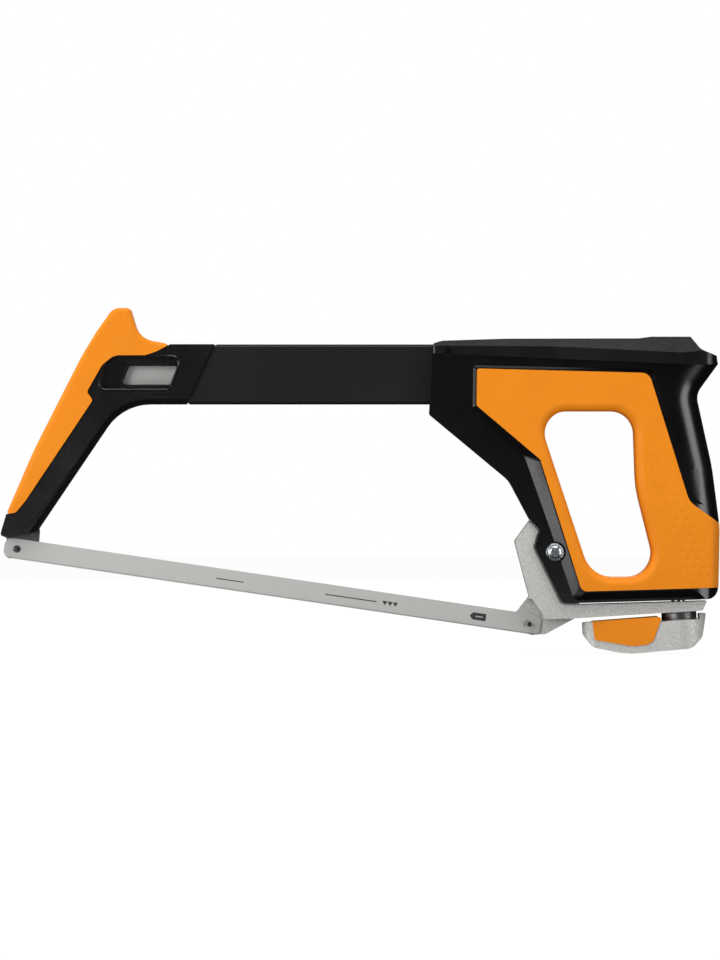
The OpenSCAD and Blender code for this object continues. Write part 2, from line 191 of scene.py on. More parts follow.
def loft(name: str, rings: Sequence[tuple[Sequence[Point], float]]) -> bpy.types.Object:
    """Extrudes an outline across the saw through rings of equal point count.

    Args:
        name: Name of the new piece.
        rings: (points in XZ, y) of each ring, from one side to the other.

    Returns:
        A closed solid, in metres.
    """
    bpy.ops.object.select_all(action="DESELECT")
    bpy.ops.mesh.primitive_circle_add(vertices=len(rings[0][0]), radius=MM, fill_type="NGON")
    obj = bpy.context.object
    obj.name = name
    points, y = rings[0]
    for vertex, (x, z) in zip(obj.data.vertices, points):
        vertex.co = Vector((x, y, z)) * MM
    ring = list(range(len(points)))
    bpy.ops.object.mode_set(mode="EDIT")
    for points, y in rings[1:]:
        bpy.ops.mesh.extrude_region_move(TRANSFORM_OT_translate={"value": (0, MM, 0)})
        mesh = bmesh.from_edit_mesh(obj.data)
        mesh.verts.index_update()
        mesh.verts.ensure_lookup_table()
        for k, (x, z) in enumerate(points):
            before = mesh.verts[ring[k]]
            ends = (edge.other_vert(before) for edge in before.link_edges)
            vertex = next(end for end in ends if end.select)
            vertex.co = Vector((x, y, z)) * MM
            ring[k] = vertex.index
        bmesh.update_edit_mesh(obj.data)
    bpy.ops.mesh.select_all(action="SELECT")
    bpy.ops.mesh.normals_make_consistent(inside=False)
    bpy.ops.object.mode_set(mode="OBJECT")
    return obj


def slab(name: str, corners: Sequence[Corner], y0: float, y1: float) -> bpy.types.Object:
    """Makes a plate of an outline, from y0 to y1."""
    points = rounded(corners)
    return loft(name, [(points, y0), (points, y1)])


def apply_modifier(obj: bpy.types.Object, kind: str, **settings: Any) -> None:
    """Adds a modifier to obj, sets it and applies it.

    Args:
        obj: The piece.
        kind: The modifier's type.
        **settings: Its settings by name.
    """
    only(obj)
    modifier = obj.modifiers.new(kind.lower(), kind)
    for key, value in settings.items():
        setattr(modifier, key, value)
    bpy.ops.object.modifier_apply(modifier=modifier.name)


def combine(obj: bpy.types.Object, tool: bpy.types.Object, how: str = "DIFFERENCE") -> None:
    """Cuts obj with a tool, or joins or intersects them, and removes the tool."""
    apply_modifier(obj, "BOOLEAN", operation=how, object=tool, solver="EXACT")
    bpy.data.objects.remove(tool)


def clean(obj: bpy.types.Object) -> None:
    """Merges doubles and dissolves the edges inside flat faces.

    Args:
        obj: The piece.
    """
    only(obj)
    bpy.ops.object.mode_set(mode="EDIT")
    bpy.ops.mesh.select_mode(type="VERT")
    bpy.ops.mesh.select_all(action="SELECT")
    bpy.ops.mesh.remove_doubles(threshold=0.01 * MM)
    bpy.ops.mesh.dissolve_limited(angle_limit=math.radians(0.6))
    bpy.ops.mesh.select_all(action="SELECT")
    bpy.ops.mesh.normals_make_consistent(inside=False)
    bpy.ops.object.mode_set(mode="OBJECT")


def from_cad(node: str, name: str) -> bpy.types.Object:
    """Copies a CAD node's shape as the start of a finer piece.

    Args:
        node: The CAD node.
        name: Name of the copy.

    Returns:
        The copy, merged, with flat faces whole.
    """
    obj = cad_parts[node].copy()
    obj.data = obj.data.copy()
    obj.name = name
    obj.parent = None
    for key in list(obj.keys()):
        del obj[key]
    bpy.context.scene.collection.objects.link(obj)
    obj.data.materials.clear()
    clean(obj)
    return obj


EdgeTest = Callable[[Vector, Vector], bool]


def inside(corners: Sequence[Corner]) -> Callable[[Vector], bool]:
    """Makes a test for points that lie within an outline seen from the side.

    Args:
        corners: The outline's corners.

    Returns:
        The test, which takes a point in millimetres.
    """
    ring = rounded(corners)

    def test(point: Vector) -> bool:
        """Counts the outline's edges to the right of the point.

        Args:
            point: The point, in millimetres.

        Returns:
            Whether it lies inside.
        """
        crossings = 0
        for (x0, z0), (x1, z1) in zip(ring, ring[1:] + ring[:1]):
            if (z0 > point.z) != (z1 > point.z):
                crossings += x0 + (point.z - z0) / (z1 - z0) * (x1 - x0) > point.x
        return crossings % 2 == 1

    return test


def on_side(y: float) -> EdgeTest:
    """Makes a test for edges that lie y millimetres off the saw's middle plane, on either side."""
    return lambda a, b: all(abs(abs(end.y) - y) < NEAR for end in (a, b))


def bevel_edges(obj: bpy.types.Object, wanted: EdgeTest, width: float, segments: int = 3) -> None:
    """Rounds the sharp edges that a test picks.

    Args:
        obj: The piece.
        wanted: Says of an edge's two ends, in millimetres, whether it is rounded.
        width: How far the rounding reaches from the edge.
        segments: Steps of the rounding; 1 makes a flat chamfer.
    """
    only(obj)
    bpy.ops.object.mode_set(mode="EDIT")
    bpy.ops.mesh.select_mode(type="EDGE")
    bpy.ops.mesh.select_all(action="DESELECT")
    mesh = bmesh.from_edit_mesh(obj.data)
    for edge in mesh.edges:
        if len(edge.link_faces) == 2 and edge.calc_face_angle() > math.radians(30):
            edge.select_set(wanted(edge.verts[0].co / MM, edge.verts[1].co / MM))
    bmesh.update_edit_mesh(obj.data)
    bpy.ops.mesh.bevel(offset=width * MM, segments=segments, affect="EDGES", clamp_overlap=False)
    bpy.ops.object.mode_set(mode="OBJECT")


def soften(obj: bpy.types.Object, width: float = 0.5, segments: int = 3, angle: float = 28) -> None:
    """Rounds every remaining sharp edge a little and shades the piece smooth.

    Args:
        obj: The piece.
        width: How far the rounding reaches from each edge, in millimetres.
        segments: Steps of the rounding; 1 makes flat chamfers.
        angle: Least angle, in degrees, of an edge that is rounded.
    """
    apply_modifier(
        obj, "BEVEL", width=width * MM, segments=segments, limit_method="ANGLE",
        angle_limit=math.radians(angle), use_clamp_overlap=True, harden_normals=False,
    )
    only(obj)
    bpy.ops.object.shade_smooth_by_angle(angle=math.radians(angle))
    apply_modifier(obj, "WEIGHTED_NORMAL", keep_sharp=True, weight=100, thresh=0.01)


def mirrored(obj: bpy.types.Object, name: str) -> bpy.types.Object:
    """Copies a piece to the other side of the saw.

    Args:
        obj: The piece on one side.
        name: Name of the copy.

    Returns:
        The mirrored copy, with its faces turned outwards.
    """
    twin = obj.copy()
    twin.data = obj.data.copy()
    twin.name = name
    bpy.context.scene.collection.objects.link(twin)
    only(twin)
    bpy.ops.object.mode_set(mode="EDIT")
    bpy.ops.mesh.select_all(action="SELECT")
    bpy.ops.transform.mirror(constraint_axis=(False, True, False), center_override=(0, 0, 0))
    bpy.ops.mesh.normals_make_consistent(inside=False)
    bpy.ops.object.mode_set(mode="OBJECT")
    return twin


def settle(
    obj: bpy.types.Object, body: Body, slot: Slot, look: bpy.types.Material, *nodes: str
) -> None:
    """Dresses a piece, puts it on its body and hides the CAD nodes it stands for.

    Args:
        obj: The finished piece.
        body: The body that it rides on.
        slot: The record's slot that its finish belongs to; not used.
        look: Its material.
        *nodes: CAD nodes that it replaces.
    """
    obj.data.materials.clear()
    obj.data.materials.append(look)
    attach(obj, body.value)
    if nodes:
        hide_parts(*nodes)
    log.info("%s: %d faces on %s", obj.name, len(obj.data.polygons), body.value)


def dress_node(node: str, look: bpy.types.Material) -> None:
    """Gives a CAD node that stays in view its material.

    Args:
        node: The CAD node.
        look: Its material.
    """
    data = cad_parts[node].data
    data.materials.clear()
    data.materials.append(look)
    log.info("%s: CAD shape kept", node)


# ---------------------------------------------------------------- shader maths


class Wire:
    """A socket in a node tree that Python's operators work on."""

    def __init__(self, tree: "Graph", socket: bpy.types.NodeSocket) -> None:
        """Wraps a socket of a graph."""
        self.tree = tree
        self.socket = socket

    def _math(self, operation: str, *values: Any) -> "Wire":
        """Adds a Math node on these values."""
        return self.tree.add("ShaderNodeMath", {"operation": operation}, dict(enumerate(values)))

    def __add__(self, other: Any) -> "Wire":
        """Sum."""
        return self._math("ADD", self, other)

    __radd__ = __add__

    def __sub__(self, other: Any) -> "Wire":
        """Difference."""
        return self._math("SUBTRACT", self, other)

    def __rsub__(self, other: Any) -> "Wire":
        """Difference from a number."""
        return self._math("SUBTRACT", other, self)

    def __mul__(self, other: Any) -> "Wire":
        """Product."""
        return self._math("MULTIPLY", self, other)

    __rmul__ = __mul__

    def __gt__(self, other: Any) -> "Wire":
        """1 where this is greater."""
        return self._math("GREATER_THAN", self, other)

    def __lt__(self, other: Any) -> "Wire":
        """1 where this is less."""
        return self._math("LESS_THAN", self, other)

    def __abs__(self) -> "Wire":
        """Size without sign."""
        return self._math("ABSOLUTE", self)

    def wrap(self, size: float) -> "Wire":
        """Remainder of this within steps of size, from 0 to size."""
        return self._math("FLOORED_MODULO", self, size)

    def high(self, other: Any) -> "Wire":
        """The greater of the two."""
        return self._math("MAXIMUM", self, other)

    def ramp(self, low: float, high: float) -> "Wire":
        """Smooth step from 0 at low to 1 at high."""
        return self.tree.add(
            "ShaderNodeMapRange", {"interpolation_type": "SMOOTHSTEP"},
            {"Value": self, "From Min": low, "From Max": high},
        )


def with_alpha(value: Any) -> Any:
    """Adds a full alpha to a colour of three numbers and leaves any other value alone."""
    return (*value, 1) if isinstance(value, tuple) else value


class Graph:
    """The node tree of one material."""

    def __init__(self, name: str) -> None:
        """Makes an empty material.

        Args:
            name: The material's name.
        """
        self.material = bpy.data.materials.new(name)
        self.material.use_nodes = True
        self.nodes = self.material.node_tree.nodes
        self.nodes.clear()

    def add(
        self, kind: str, settings: dict[str, Any], inputs: dict[Any, Any], out: int | str = 0
    ) -> Wire:
        """Adds a node.

        Args:
            kind: The node's type.
            settings: Its own settings, such as a Math node's operation.
            inputs: Values or wires by socket name or number.
            out: Name or number of the output that is returned.

        Returns:
            The chosen output.
        """
        node = self.nodes.new(kind)
        for key, value in settings.items():
            setattr(node, key, value)
        for key, value in inputs.items():
            if isinstance(value, Wire):
                self.material.node_tree.links.new(value.socket, node.inputs[key])
            else:
                node.inputs[key].default_value = value
        return Wire(self, node.outputs[out])

    def place(self) -> Wire:
        """Object coordinates, in metres."""
        return self.add("ShaderNodeTexCoord", {}, {}, "Object")

    def axes(self, where: Wire) -> tuple[Wire, Wire, Wire]:
        """Splits points into X, Y and Z.

        Args:
            where: The points, in metres.

        Returns:
            Their three parts, in millimetres.
        """
        split = self.add("ShaderNodeSeparateXYZ", {}, {0: where}).socket.node
        return tuple(Wire(self, part) * (1 / MM) for part in split.outputs)

    def noise(self, where: Wire, size: float, detail: float = 2, rough: float = 0.5) -> Wire:
        """Noise whose lumps are about size millimetres across, from 0 to 1."""
        values = {"Vector": where, "Scale": 1 / (size * MM), "Detail": detail, "Roughness": rough}
        return self.add("ShaderNodeTexNoise", {}, values)

    def cells(self, where: Wire, size: float) -> Wire:
        """Distance pattern of cells about size millimetres across."""
        values = {"Vector": where, "Scale": 1 / (size * MM)}
        return self.add("ShaderNodeTexVoronoi", {"feature": "F1"}, values)

    def stretch(self, where: Wire, scale: Place, turn: float = 0) -> Wire:
        """Points turned about Y by turn degrees, then scaled along each axis."""
        turned = self.add(
            "ShaderNodeMapping", {}, {"Vector": where, "Rotation": (0, math.radians(turn), 0)}
        )
        return self.add("ShaderNodeMapping", {}, {"Vector": turned, "Scale": scale})

    def blend(self, factor: Any, first: Any, second: Any) -> Wire:
        """Mixes two colours.

        Args:
            factor: Share of the second colour, from 0 to 1.
            first: The first colour, a wire or three numbers.
            second: The second colour.

        Returns:
            The mixed colour.
        """
        values = {0: factor, 6: with_alpha(first), 7: with_alpha(second)}
        return self.add("ShaderNodeMix", {"data_type": "RGBA"}, values, 2)

    def bump(self, height: Wire, depth: float) -> Wire:
        """Normal from a height of 0 to 1 that stands for depth millimetres."""
        values = {"Height": height, "Distance": depth * MM, "Strength": 1.0}
        return self.add("ShaderNodeBump", {}, values)

    def finish(self, **inputs: Any) -> bpy.types.Material:
        """Ends the tree in a Principled shader.

        Args:
            **inputs: Values or wires by socket name, with _ for each space.

        Returns:
            The material.
        """
        named = {}
        for key, value in inputs.items():
            name = key.replace("_", " ").title().replace("Ior", "IOR")
            named[name] = with_alpha(value)
        shader = self.add("ShaderNodeBsdfPrincipled", {}, named)
        output = self.nodes.new("ShaderNodeOutputMaterial")
        self.material.node_tree.links.new(shader.socket, output.inputs["Surface"])
        return self.material


# ---------------------------------------------------------------- finishes


@dataclass(frozen=True)
class GlossPlastic:
    """Polished black plastic with a faint orange peel, dull patches and fine scuffs."""

    name: str = "gloss_black"
    fresh: Colour = (0.0012, 0.0012, 0.0014)
    rubbed: Colour = (0.0035, 0.0035, 0.004)
    shine: float = 0.23
    peel: float = 0.012

    def make(self) -> bpy.types.Material:
        """Builds the material.

        Returns:
            The material.
        """
        g = Graph(self.name)
        where = g.place()
        patches = g.noise(where, 24, 3)
        scuffs = g.noise(g.stretch(where, (0.5, 5, 5), 28), 1.4, 3).ramp(0.6, 0.72)
        return g.finish(
            base_color=g.blend(patches * 0.6 + scuffs * 0.3, self.fresh, self.rubbed),
            roughness=patches * 0.1 + scuffs * 0.08 + (self.shine - 0.05),
            specular_ior_level=0.7,
            normal=g.bump(g.noise(where, 1.1, 2), self.peel),
        )


@dataclass(frozen=True)
class GrainCoat:
    """Dark coat with a fine grain: powder coat on metal or spark-eroded plastic."""

    name: str
    colour: Colour
    speck: Colour
    roughness: float
    grain: float
    depth: float
    shine: float = 0.5

    def make(self) -> bpy.types.Material:
        """Builds the material.

        Returns:
            The material.
        """
        g = Graph(self.name)
        where = g.place()
        grains = g.noise(where, self.grain, 2, 0.65)
        broad = g.noise(where, 30, 2)
        specks = grains.ramp(0.52, 0.74)
        return g.finish(
            base_color=g.blend(specks * 0.8 + broad * 0.25, self.colour, self.speck),
            roughness=broad * 0.12 + (self.roughness - 0.06) - specks * 0.08,
            specular_ior_level=self.shine,
            normal=g.bump(grains, self.depth),
        )


@dataclass(frozen=True)
class SoftGrip:
    """Orange moulded elastomer: matt, with a fine skin and slightly darker handled patches."""

    name: str = "soft_orange"
    colour: Colour = (0.71, 0.213, 0.0015)
    handled: Colour = (0.66, 0.19, 0.001)

    def make(self) -> bpy.types.Material:
        """Builds the material.

        Returns:
            The material.
        """
        g = Graph(self.name)
        where = g.place()
        skin = g.noise(where, 0.35, 2, 0.6)
        patches = g.noise(where, 18, 3).ramp(0.35, 0.75)
        pores = g.cells(where, 0.8).ramp(0.05, 0.3)
        return g.finish(
            base_color=g.blend(patches * 0.5 + skin * 0.2, self.colour, self.handled),
            roughness=skin * 0.16 + patches * 0.06 + 0.44,
            specular_ior_level=0.22,
            normal=g.bump(skin * 0.6 + pores * 0.4, 0.035),
        )


@dataclass(frozen=True)
class CastSilver:
    """Silver texture paint on a casting: light and dark flakes over a pebbled skin."""

    name: str = "cast_silver"
    pale: Colour = (0.63, 0.62, 0.595)
    dark: Colour = (0.36, 0.355, 0.345)

    def make(self) -> bpy.types.Material:
        """Builds the material.

        Returns:
            The material.
        """
        g = Graph(self.name)
        where = g.place()
        flakes = g.noise(where, 0.75, 3, 0.7).ramp(0.36, 0.62)
        broad = g.noise(where, 9, 3)
        pebbles = g.cells(where, 1.3)
        return g.finish(
            base_color=g.blend(flakes * 0.75 + broad * 0.25, self.dark, self.pale),
            roughness=0.58 - flakes * 0.16,
            metallic=flakes * 0.25 + 0.1,
            normal=g.bump(flakes * 0.5 + pebbles * 0.5, 0.07),
        )


@dataclass(frozen=True)
class Plating:
    """Bare or plated metal with drawn lines and dull spots."""

    name: str
    colour: Colour
    dull: Colour
    roughness: float
    metallic: float = 1.0

    def make(self) -> bpy.types.Material:
        """Builds the material.

        Returns:
            The material.
        """
        g = Graph(self.name)
        where = g.place()
        spots = g.noise(where, 2.2, 4, 0.6).ramp(0.4, 0.7)
        lines = g.noise(g.stretch(where, (1, 8, 1)), 0.9, 2)
        return g.finish(
            base_color=g.blend(spots, self.colour, self.dull),
            roughness=spots * 0.14 + lines * 0.08 + (self.roughness - 0.05),
            metallic=self.metallic,
            normal=g.bump(lines, 0.01),
        )


@dataclass(frozen=True)
class BladeSteel:
    """Light grey painted blade with plain printed marks and bare, darker teeth.

    The marks run along the blade: a pointed tag near the back, three small teeth and two bars.
    """

    name: str = "blade_steel"
    paint: Colour = (0.48, 0.477, 0.462)
    worn: Colour = (0.4, 0.397, 0.384)
    bare: Colour = (0.3, 0.295, 0.285)
    ink: Colour = (0.012, 0.012, 0.013)
    start: Point = (-382.9, -39.8)
    fall: float = 8.34
    printed: bool = True

    def marks(self, g: Graph, along: Wire, across: Wire, side: Wire) -> Wire:
        """Masks the print on the near face.

        Args:
            g: The graph; not used.
            along: Distance from the front hole along the blade, in millimetres.
            across: Distance from the blade's middle line, upwards.
            side: Place across the saw.

        Returns:
            1 on ink, 0 elsewhere.
        """
        tag_at, tag_half = (265.8, 275.4), 2.1
        point = tag_at[0] + abs(across) * 0.9
        tag = (along > point) * (along < tag_at[1]) * (abs(across) < tag_half)
        slit = (abs(along - 271.4) < 2.2) * (abs(across) < 0.28)
        tooth = (along - 214.4).wrap(3.1)
        teeth = (abs(along - 219.05) < 4.65) * (abs(across + 0.2) < 1.3)
        teeth = teeth * (abs(tooth - 1.55) * 1.7 < (across + 1.5))
        long_bar = (abs(along - 196) < 15) * (abs(across) < 0.32)
        short_bar = (abs(along - 125) < 8) * (abs(across) < 0.3)
        bars = long_bar + short_bar
        ink = tag.high(teeth).high(bars) - tag * slit
        return ink * (side < 0.0)

    def make(self) -> bpy.types.Material:
        """Builds the material.

        Returns:
            The material.
        """
        g = Graph(self.name)
        where = g.place()
        x, y, z = g.axes(where)
        turn = math.radians(self.fall)
        along = (x - self.start[0]) * math.cos(turn) - (z - self.start[1]) * math.sin(turn)
        across = (x - self.start[0]) * math.sin(turn) + (z - self.start[1]) * math.cos(turn)
        grain = g.noise(g.stretch(where, (0.06, 1, 1), self.fall), 0.5, 3, 0.6)
        patches = g.noise(where, 12, 3)
        colour = g.blend(grain * 0.4 + patches * 0.35, self.paint, self.worn)
        edge = 1 - across.ramp(-5.3, -4.75)
        colour = g.blend(edge * 0.85, colour, self.bare)
        if self.printed:
            colour = g.blend(self.marks(g, along, across, y) * 0.95, colour, self.ink)
        return g.finish(
            base_color=colour,
            roughness=grain * 0.14 + 0.4 - edge * 0.1,
            metallic=edge * 0.6 + 0.15,
            normal=g.bump(grain, 0.012),
        )


@dataclass
class Looks:
    """Every finish of the saw, made once."""

    gloss: bpy.types.Material = field(default_factory=lambda: GlossPlastic().make())
    cap: bpy.types.Material = field(default_factory=lambda: GrainCoat(
        "grained_plastic", (0.0025, 0.0025, 0.003), (0.009, 0.009, 0.0095), 0.3, 0.55, 0.05).make())
    tube: bpy.types.Material = field(default_factory=lambda: GrainCoat(
        "powder_coat", (0.007, 0.0072, 0.008), (0.014, 0.014, 0.0155), 0.42, 0.5, 0.03, 0.2).make())
    casting: bpy.types.Material = field(default_factory=lambda: GrainCoat(
        "black_casting", (0.002, 0.002, 0.0025), (0.008, 0.008, 0.009), 0.25, 1.0, 0.03, 0.75,
    ).make())
    grip: bpy.types.Material = field(default_factory=lambda: SoftGrip().make())
    silver: bpy.types.Material = field(default_factory=lambda: CastSilver().make())
    zinc: bpy.types.Material = field(default_factory=lambda: Plating(
        "zinc_plate", (0.66, 0.69, 0.72), (0.5, 0.52, 0.53), 0.24).make())
    steel: bpy.types.Material = field(default_factory=lambda: Plating(
        "dark_steel", (0.14, 0.14, 0.145), (0.09, 0.085, 0.08), 0.36).make())
    bronze: bpy.types.Material = field(default_factory=lambda: Plating(
        "sintered_bronze", (0.42, 0.26, 0.11), (0.3, 0.19, 0.09), 0.42).make())
    channel: bpy.types.Material = field(default_factory=lambda: GrainCoat(
        "channel_plastic", (0.04, 0.04, 0.042), (0.06, 0.06, 0.062), 0.55, 0.8, 0.03).make())
    blade: bpy.types.Material = field(default_factory=lambda: BladeSteel().make())
    spare: bpy.types.Material = field(default_factory=lambda: BladeSteel(
        "spare_blade_steel", start=STORED_HOLE, fall=0, printed=False).make())


# ---------------------------------------------------------------- sub-assemblies


@dataclass
class TopTube:
    """Rectangular steel tube, the pin that holds the handle on it and the channel inside it."""

    looks: Looks
    half_width: float = 7.5
    low: float = 44.2
    high: float = 79.0
    corner: float = 2.4

    def is_corner(self, a: Vector, b: Vector) -> bool:
        """Tells the tube's four long outer edges from the rest."""
        level = abs(a.z - b.z) < NEAR and min(abs(a.z - self.low), abs(a.z - self.high)) < NEAR
        return level and on_side(self.half_width)(a, b)

    def build(self) -> None:
        """Builds the tube and dresses what it holds."""
        tube = from_cad("top_tube", "tube")
        bevel_edges(tube, self.is_corner, self.corner, 5)
        soften(tube, 0.3, 2)
        settle(tube, Body.FRAME, Slot.TUBE, self.looks.tube, "top_tube")
        pin = from_cad("tube_pin", "handle_cross_pin")
        soften(pin, 0.5, 3)
        settle(pin, Body.FRAME, Slot.TUBE, self.looks.gloss, "tube_pin")
        dress_node("blade_channel", self.looks.channel)


@dataclass
class FrontEnd:
    """Front casting with its window, soft cover, steel tang and pin."""

    looks: Looks
    half_width: float = 9.5
    grip_half_width: float = 11.0
    # Lower face of the casting, set back a little behind a crease that follows its inner edge
    band: Sequence[Corner] = (
        (-262, 50.2, 0), (-318, 50.2, 34), (-371.2, -20.6, 5), (-377.5, -26.6, 4), (-396, -29.6, 0),
        (-396, -50, 0), (-262, 30, 0),
    )
    band_depth: float = 0.7
    # Open side of the casting's inner edge, whose outer corners are cut to a flat chamfer
    open_side: Sequence[Corner] = (
        (-262, 44.2, 0), (-321.4, 44.2, 30), (-376.5, -37.3, 0), (-330, -70, 0), (-262, -60, 0),
    )
    # Width and depth of that chamfer
    chamfer: Point = (3.0, 3.2)
    recess: Sequence[Corner] = (
        (-329.5, 71, 3), (-334.6, 53.4, 3), (-294.6, 53.4, 3), (-288.2, 71, 3),
    )
    # Wedge in the recess: its floor and top below the face, its back and front end as
    # (x at the top, x at the foot), and its height
    ramp_depths: Point = (3.4, 0.25)
    ramp_ends: tuple[Point, Point] = ((-321.8, -317.0), (-335.0, -331.0))
    ramp_heights: Point = (54.6, 68.4)
    # Width and height of the lip round the recess, and how far it stands back from the wall
    lip: Point = (1.6, 0.8)
    ledge: float = 0.3
    # Region behind the soft cover's front and top outline
    cover_front: Sequence[Corner] = (
        (-326.6, 100, 7), (-316.8, 100, 2.5), (-311.6, 82.4, 13), (-250, 70.8, 0), (-250, -60, 0),
        (-406.1, -60, 0), (-372.9, 17, 220), (-341.4, 79, 120),
    )
    cover_round: float = 2.4

    def cover_envelope(self) -> bpy.types.Object:
        """Makes the solid that rounds the soft cover along its front and top outline.

        Returns:
            The tool, to be intersected with the cover.
        """
        bend, steps = self.cover_round, 6
        flat = self.grip_half_width - bend
        half: list[tuple[Sequence[Point], float]] = []
        for k in range(steps + 1):
            swing = math.radians(90 * k / steps)
            inset = bend * (1 - math.cos(swing))
            ring = rounded(grown(self.cover_front, -inset), 8)
            half.append((ring, flat + bend * math.sin(swing)))
        half.append((half[-1][0], self.grip_half_width + 2))
        return loft("cover_envelope", [(ring, -y) for ring, y in half[::-1]] + half)

    def ramp(self) -> bpy.types.Object:
        """Makes the wedge that falls from the recess's front end to the window.

        Returns:
            The wedge, to be joined to the casting.
        """
        bpy.ops.object.select_all(action="DESELECT")
        bpy.ops.mesh.primitive_cube_add(size=MM)
        wedge = bpy.context.object
        wedge.name = "ramp"
        floor, top = (-self.half_width + depth for depth in self.ramp_depths)
        near, far = self.ramp_ends
        for vertex in wedge.data.vertices:
            low, deep, back = vertex.co.z < 0, vertex.co.y > 0, vertex.co.x > 0
            x = (near if back else far)[0 if low else 1]
            y = floor + 1 if deep else (floor if back else top)
            vertex.co = Vector((x, y, self.ramp_heights[0 if low else 1])) * MM
        return wedge

    def edge_cutter(self, side: int) -> bpy.types.Object:
        """Makes the cutter of the inner edge's chamfer.

        Args:
            side: -1 for the near side, 1 for the far one.

        Returns:
            The cutter.
        """
        wide, deep = self.chamfer
        face = self.half_width - self.band_depth
        rings = [
            (rounded(grown(self.open_side, by), 8), side * y)
            for by, y in ((wide, face + 5), (wide, face), (-0.05, face - deep))
        ]
        return loft("chamfer", rings[::-1] if side > 0 else rings)

    def rim(self) -> bpy.types.Object:
        """Makes the raised lip round the window's recess.

        Returns:
            The lip, to be joined to the casting.
        """
        wide, high = self.lip
        lip = slab("lip", grown(self.recess, wide), -self.half_width - high, -self.half_width + 0.5)
        combine(lip, slab("mouth", grown(self.recess, self.ledge), -self.half_width - 2, 0))
        bevel_edges(lip, on_side(self.half_width + high), 0.45, 1)
        return lip

    def build(self) -> None:
        """Builds the casting, its cover and the blade's front holder."""
        casting = from_cad("front_frame", "front_casting")
        for side in (-1, 1):
            inner, outer = side * (self.half_width - self.band_depth), side * (self.half_width + 5)
            combine(casting, slab("band", self.band, min(inner, outer), max(inner, outer)))
            combine(casting, self.edge_cutter(side))
        combine(casting, self.ramp(), "UNION")
        combine(casting, self.rim(), "UNION")
        clean(casting)
        soften(casting, 0.5, 1)
        settle(casting, Body.FRAME, Slot.CASTING, self.looks.casting, "front_frame")
        cover = from_cad("front_grip", "front_soft_cover")
        combine(cover, self.cover_envelope(), "INTERSECT")
        clean(cover)
        soften(cover, 0.5, 3, 32)
        settle(cover, Body.FRAME, Slot.GRIP, self.looks.grip, "front_grip")
        for node, name, width in (
            ("front_tang", "front_tang_plate", 0.4), ("front_blade_pin", "front_hook_pin", 0.3)
        ):
            piece = from_cad(node, name)
            soften(piece, width, 3)
            settle(piece, Body.FRAME, Slot.DARK, self.looks.steel, node)


